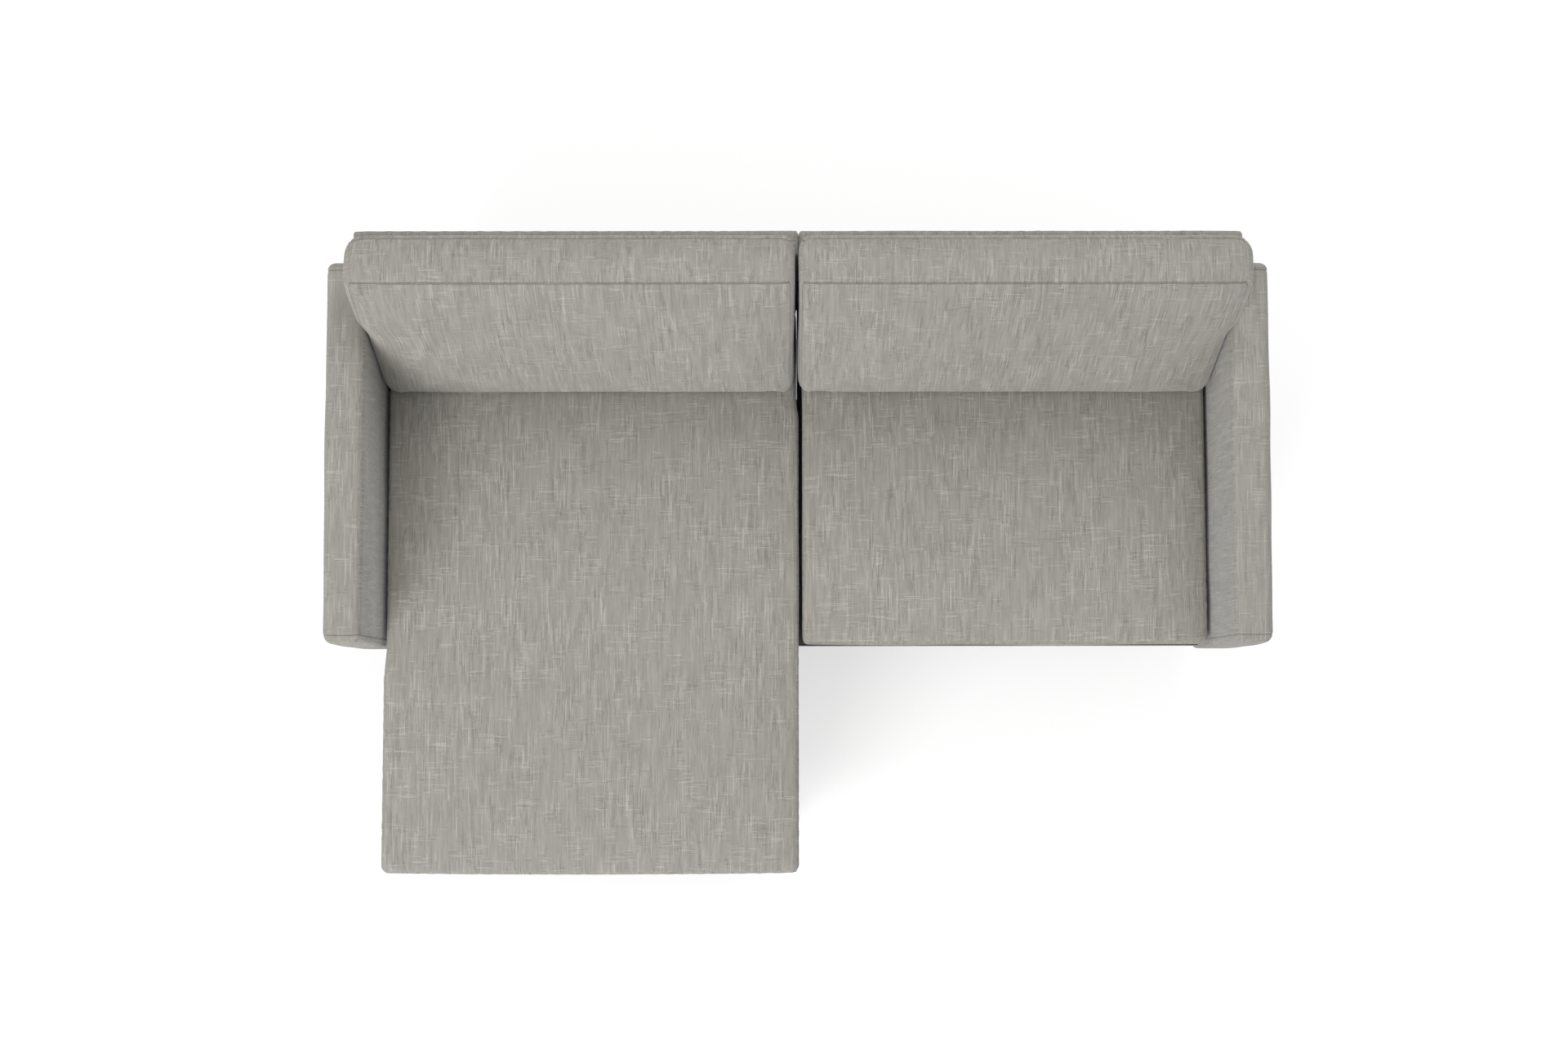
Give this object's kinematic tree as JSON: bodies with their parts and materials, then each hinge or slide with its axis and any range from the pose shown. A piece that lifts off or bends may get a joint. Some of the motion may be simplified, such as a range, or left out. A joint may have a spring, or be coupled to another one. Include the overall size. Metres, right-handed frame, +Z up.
{
  "type": "sectional sofa with chaise",
  "caption": "Sectional sofa with a chaise on one side, thin upholstered arms, loose boxed seat cushions, loose wedge-shaped back cushions and tapered wooden legs.",
  "frame": {"origin": "on the floor, at the centre of the footprint's bounding box", "axes": "+X to the right in a view from the front, +Y to the rear, +Z up"},
  "size_m": [2.12, 1.4442, 0.8333],
  "materials": {
    "upholstery": "slub woven, matte",
    "foam": "open-cell, matte",
    "fibre_fill": "soft, matte",
    "dust_cloth": "non-woven, matte",
    "deck_felt": "felt, matte",
    "leg_wood": "satin lacquer",
    "glide_plastic": "matte",
    "plywood": "bare",
    "frame_wood": "bare",
    "spring_steel": "oiled",
    "bolt_steel": "zinc plated",
    "connector_steel": "powder coat"
  },
  "bodies": {
    "chaise": {"chaise_back_board": "plywood", "chaise_back_cover": "upholstery", "chaise_back_left_post": "frame_wood", "chaise_back_padding": "foam", "chaise_back_rear_cover": "upholstery", "chaise_back_right_post": "frame_wood", "chaise_bolts": "bolt_steel", "chaise_corner_blocks": "frame_wood", "chaise_cover_front": "upholstery", "chaise_cover_left": "upholstery", "chaise_cover_right": "upholstery", "chaise_cross_rail": "frame_wood", "chaise_deck_pad": "deck_felt", "chaise_dust_cover": "dust_cloth", "chaise_front_rail": "frame_wood", "chaise_glides": "glide_plastic", "chaise_left_rail": "frame_wood", "chaise_legs": "leg_wood", "chaise_rear_rail": "frame_wood", "chaise_right_rail": "frame_wood", "chaise_spring_clips": "spring_steel", "chaise_springs": "spring_steel", "connector_receivers": "connector_steel", "left_arm_board": "plywood", "left_arm_cover": "upholstery", "left_arm_padding": "foam"},
    "sofa": {"connector_hooks": "connector_steel", "right_arm_board": "plywood", "right_arm_cover": "upholstery", "right_arm_padding": "foam", "sofa_back_board": "plywood", "sofa_back_cover": "upholstery", "sofa_back_left_post": "frame_wood", "sofa_back_padding": "foam", "sofa_back_rear_cover": "upholstery", "sofa_back_right_post": "frame_wood", "sofa_bolts": "bolt_steel", "sofa_corner_blocks": "frame_wood", "sofa_cover_front": "upholstery", "sofa_cover_left": "upholstery", "sofa_cover_right": "upholstery", "sofa_deck_pad": "deck_felt", "sofa_dust_cover": "dust_cloth", "sofa_front_rail": "frame_wood", "sofa_glides": "glide_plastic", "sofa_left_rail": "frame_wood", "sofa_legs": "leg_wood", "sofa_rear_rail": "frame_wood", "sofa_right_rail": "frame_wood", "sofa_spring_clips": "spring_steel", "sofa_springs": "spring_steel"},
    "chaise_seat_cushion": {"chaise_seat_cushion_cover": "upholstery", "chaise_seat_cushion_foam": "foam"},
    "chaise_back_cushion": {"chaise_back_cushion_cover": "upholstery", "chaise_back_cushion_fill": "fibre_fill"},
    "sofa_seat_cushion": {"sofa_seat_cushion_cover": "upholstery", "sofa_seat_cushion_foam": "foam"},
    "sofa_back_cushion": {"sofa_back_cushion_cover": "upholstery", "sofa_back_cushion_fill": "fibre_fill"}
  },
  "joints": [
    {"name": "sofa_unhook", "type": "slide", "parent": "chaise", "child": "sofa", "axis": [0, 0, 1], "range_m": [0, 0.06]},
    {"name": "chaise_seat_cushion_lift", "type": "slide", "parent": "chaise", "child": "chaise_seat_cushion", "axis": [0, 0, 1], "range_m": [0, 0.25]},
    {"name": "chaise_back_cushion_lift", "type": "slide", "parent": "chaise_seat_cushion", "child": "chaise_back_cushion", "axis": [0, 0, 1], "range_m": [0, 0.25]},
    {"name": "sofa_seat_cushion_lift", "type": "slide", "parent": "sofa", "child": "sofa_seat_cushion", "axis": [0, 0, 1], "range_m": [0, 0.25]},
    {"name": "sofa_back_cushion_lift", "type": "slide", "parent": "sofa_seat_cushion", "child": "sofa_back_cushion", "axis": [0, 0, 1], "range_m": [0, 0.25]}
  ]
}
